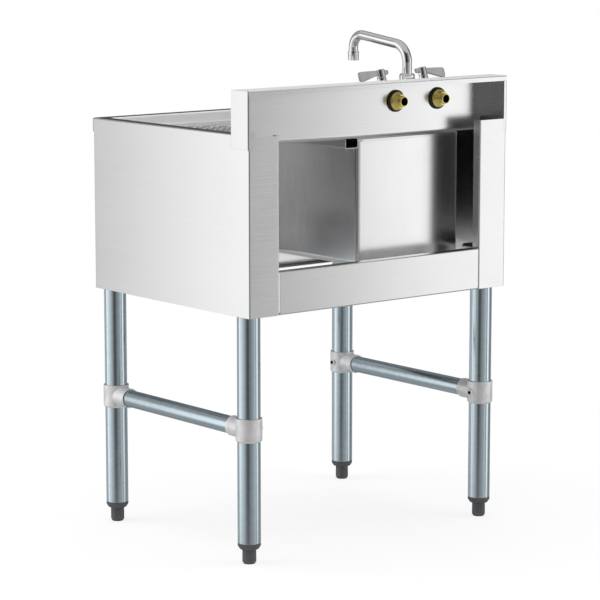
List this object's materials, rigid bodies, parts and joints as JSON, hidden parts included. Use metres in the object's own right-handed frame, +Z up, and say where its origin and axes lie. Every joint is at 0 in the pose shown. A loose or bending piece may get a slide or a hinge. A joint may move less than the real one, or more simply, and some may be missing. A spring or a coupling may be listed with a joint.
{
  "type": "underbar sink",
  "caption": "Free-standing stainless bar sink with a deep bowl, embossed drainboard, rear splash, swing-spout faucet and four tubular legs with side cross tubes.",
  "frame": {"origin": "on the floor, at the middle of the cabinet's width and depth", "axes": "+Z up; the front faces -Y and the splash and open back face +Y; the bowl is at -X and the drainboard at +X"},
  "size_m": [0.6096, 0.47, 0.9193],
  "materials": {
    "stainless_steel": "fine brushed stainless sheet",
    "galvanised_steel": "bright galvanised tube",
    "cast_aluminium": "as cast, satin",
    "grey_plastic": "dark grey moulded plastic",
    "black_steel": "black oxide",
    "chrome": "polished chrome plate",
    "brass": "bare machined brass",
    "black_rubber": "matte rubber"
  },
  "bodies": {
    "sink": {"bonnet_cold": "chrome", "bonnet_hot": "chrome", "bowl": "stainless_steel", "cross_tube_left": "galvanised_steel", "cross_tube_right": "galvanised_steel", "drain_gasket": "black_rubber", "drain_nut": "brass", "drain_strainer": "stainless_steel", "drainboard_channel": "stainless_steel", "faucet_body": "chrome", "front_apron": "stainless_steel", "leg_collar_front_left": "grey_plastic", "leg_collar_front_right": "grey_plastic", "leg_collar_rear_left": "grey_plastic", "leg_collar_rear_right": "grey_plastic", "leg_front_left": "galvanised_steel", "leg_front_right": "galvanised_steel", "leg_rear_left": "galvanised_steel", "leg_rear_right": "galvanised_steel", "leg_socket_front_left": "stainless_steel", "leg_socket_front_right": "stainless_steel", "leg_socket_rear_left": "stainless_steel", "leg_socket_rear_right": "stainless_steel", "rear_rail": "stainless_steel", "set_screw_front_left": "black_steel", "set_screw_front_right": "black_steel", "set_screw_rear_left": "black_steel", "set_screw_rear_right": "black_steel", "shank_cold": "brass", "shank_hot": "brass", "shank_nut_cold": "brass", "shank_nut_hot": "brass", "shank_washer_cold": "black_rubber", "shank_washer_hot": "black_rubber", "side_panel_left": "stainless_steel", "side_panel_right": "stainless_steel", "splash_end_cap_left": "stainless_steel", "splash_end_cap_right": "stainless_steel", "spout_nut": "chrome", "tee_front_left": "cast_aluminium", "tee_front_right": "cast_aluminium", "tee_rear_left": "cast_aluminium", "tee_rear_right": "cast_aluminium", "top_deck": "stainless_steel"},
    "spout": {"spout": "chrome", "aerator": "chrome"},
    "handle_hot": {"handle_hot": "chrome", "handle_screw_hot": "chrome", "stem_hot": "brass"},
    "handle_cold": {"handle_cold": "chrome", "handle_screw_cold": "chrome", "stem_cold": "brass"},
    "foot_front_left": {"foot_front_left": "grey_plastic"},
    "foot_front_right": {"foot_front_right": "grey_plastic"},
    "foot_rear_left": {"foot_rear_left": "grey_plastic"},
    "foot_rear_right": {"foot_rear_right": "grey_plastic"}
  },
  "joints": [
    {"name": "spout_swing", "type": "hinge", "parent": "sink", "child": "spout", "pos_m": [-0.12185, 0.16145, 0.8001], "axis": [0, 0, 1], "continuous": true},
    {"name": "hot_valve", "type": "hinge", "parent": "sink", "child": "handle_hot", "pos_m": [-0.17265, 0.16145, 0.8001], "axis": [0, -0.309, 0.9511], "range_deg": [0, 90]},
    {"name": "cold_valve", "type": "hinge", "parent": "sink", "child": "handle_cold", "pos_m": [-0.07105, 0.16145, 0.8001], "axis": [0, 0.309, -0.9511], "range_deg": [0, 90]},
    {"name": "level_front_left", "type": "slide", "parent": "sink", "child": "foot_front_left", "axis": [0, 0, -1], "range_m": [0, 0.0254]},
    {"name": "level_front_right", "type": "slide", "parent": "sink", "child": "foot_front_right", "axis": [0, 0, -1], "range_m": [0, 0.0254]},
    {"name": "level_rear_left", "type": "slide", "parent": "sink", "child": "foot_rear_left", "axis": [0, 0, -1], "range_m": [0, 0.0254]},
    {"name": "level_rear_right", "type": "slide", "parent": "sink", "child": "foot_rear_right", "axis": [0, 0, -1], "range_m": [0, 0.0254]}
  ]
}
